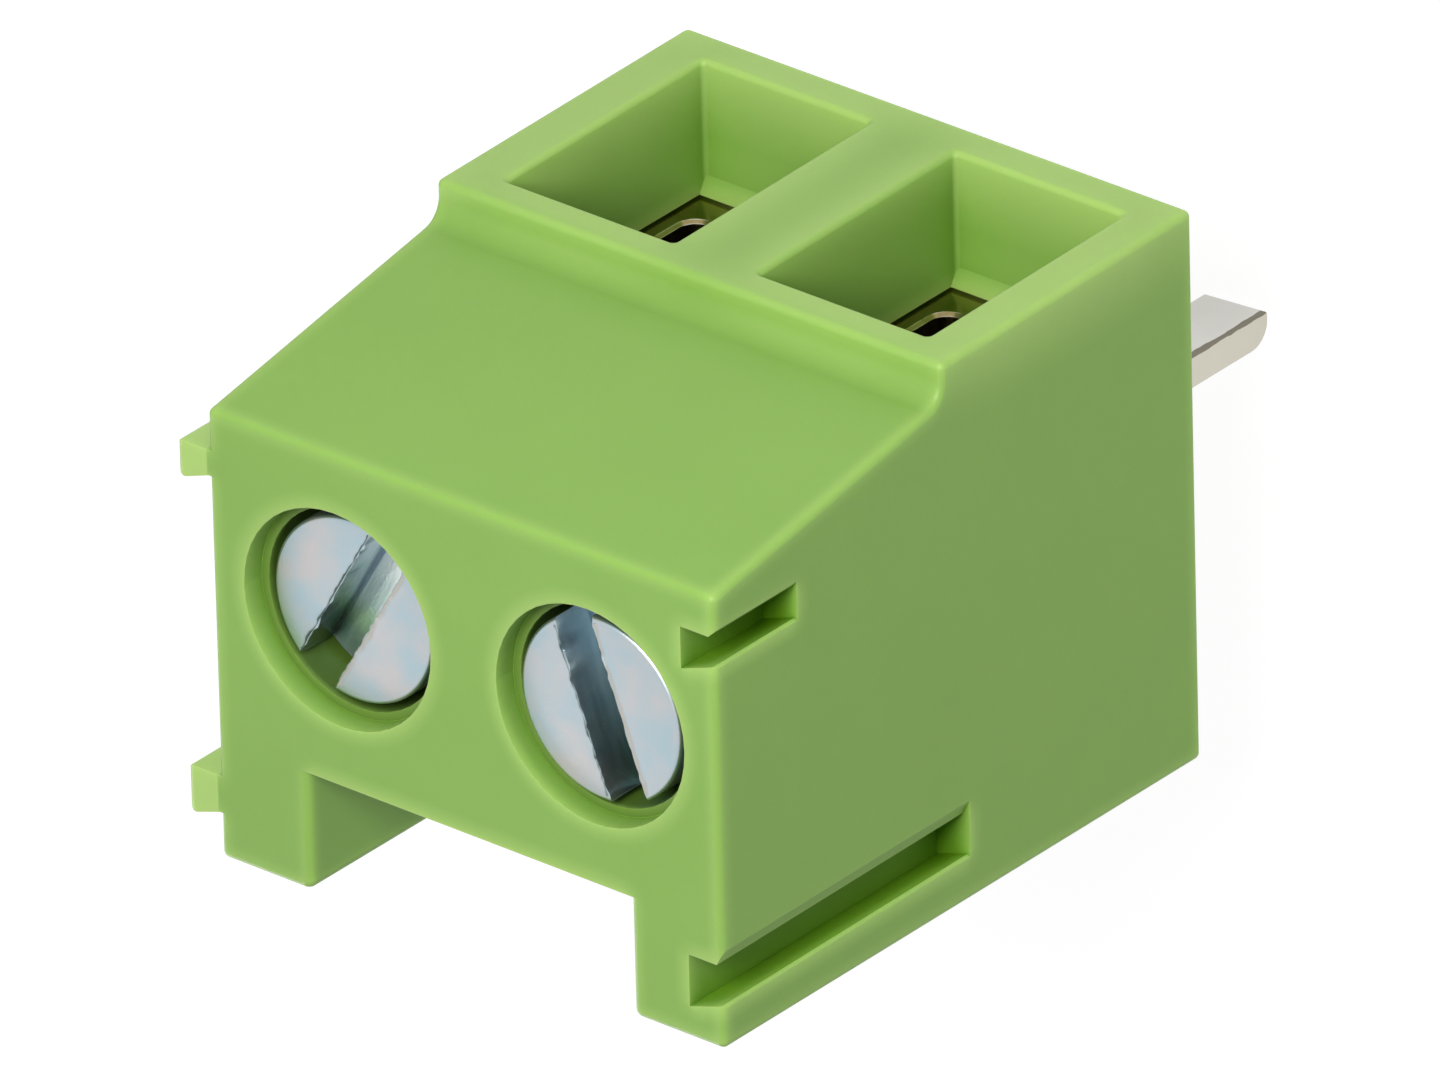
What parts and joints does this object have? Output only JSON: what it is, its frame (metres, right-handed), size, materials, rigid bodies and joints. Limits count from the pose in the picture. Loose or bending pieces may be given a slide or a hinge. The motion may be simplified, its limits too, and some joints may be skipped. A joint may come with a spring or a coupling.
{
  "type": "pcb terminal block",
  "caption": "Screw terminal block for a circuit board: square wire entries in front, slotted clamping screws on top, solder pins below and dovetail sides.",
  "frame": {"origin": "on the circuit board's surface, midway between the two poles, below the line through the screw axes", "axes": "+Z leaves the board towards the screw face, the wires enter from -Y, and the poles stand side by side along X with the tongues on +X"},
  "size_m": [0.0108, 0.0097, 0.0161],
  "materials": {
    "housing_plastic": "moulded polyamide, satin",
    "cage_metal": "nickel plated",
    "screw_metal": "blue zinc plated",
    "strip_metal": "tin plated"
  },
  "bodies": {
    "block": {"housing": "housing_plastic", "contact_strip_1": "strip_metal", "contact_strip_2": "strip_metal"},
    "screw_1": {"clamping_screw_1": "screw_metal"},
    "screw_2": {"clamping_screw_2": "screw_metal"},
    "cage_1": {"clamp_cage_1": "cage_metal"},
    "cage_2": {"clamp_cage_2": "cage_metal"}
  },
  "joints": [
    {"name": "screw_turn_1", "type": "hinge", "parent": "block", "child": "screw_1", "pos_m": [-0.00254, 0, 0.0098], "axis": [0, 0, 1], "range_deg": [-2160, 0]},
    {"name": "screw_turn_2", "type": "hinge", "parent": "block", "child": "screw_2", "pos_m": [0.00254, 0, 0.0098], "axis": [0, 0, 1], "range_deg": [-2160, 0]},
    {"name": "cage_lift_1", "type": "slide", "parent": "block", "child": "cage_1", "axis": [0, 0, 1], "range_m": [0, 0.0027]},
    {"name": "cage_lift_2", "type": "slide", "parent": "block", "child": "cage_2", "axis": [0, 0, 1], "range_m": [0, 0.0027]}
  ],
  "couplings": [
    {"joint": "screw_turn_1", "follows": "cage_lift_1", "rad_per_m": -13963},
    {"joint": "screw_turn_2", "follows": "cage_lift_2", "rad_per_m": -13963}
  ]
}
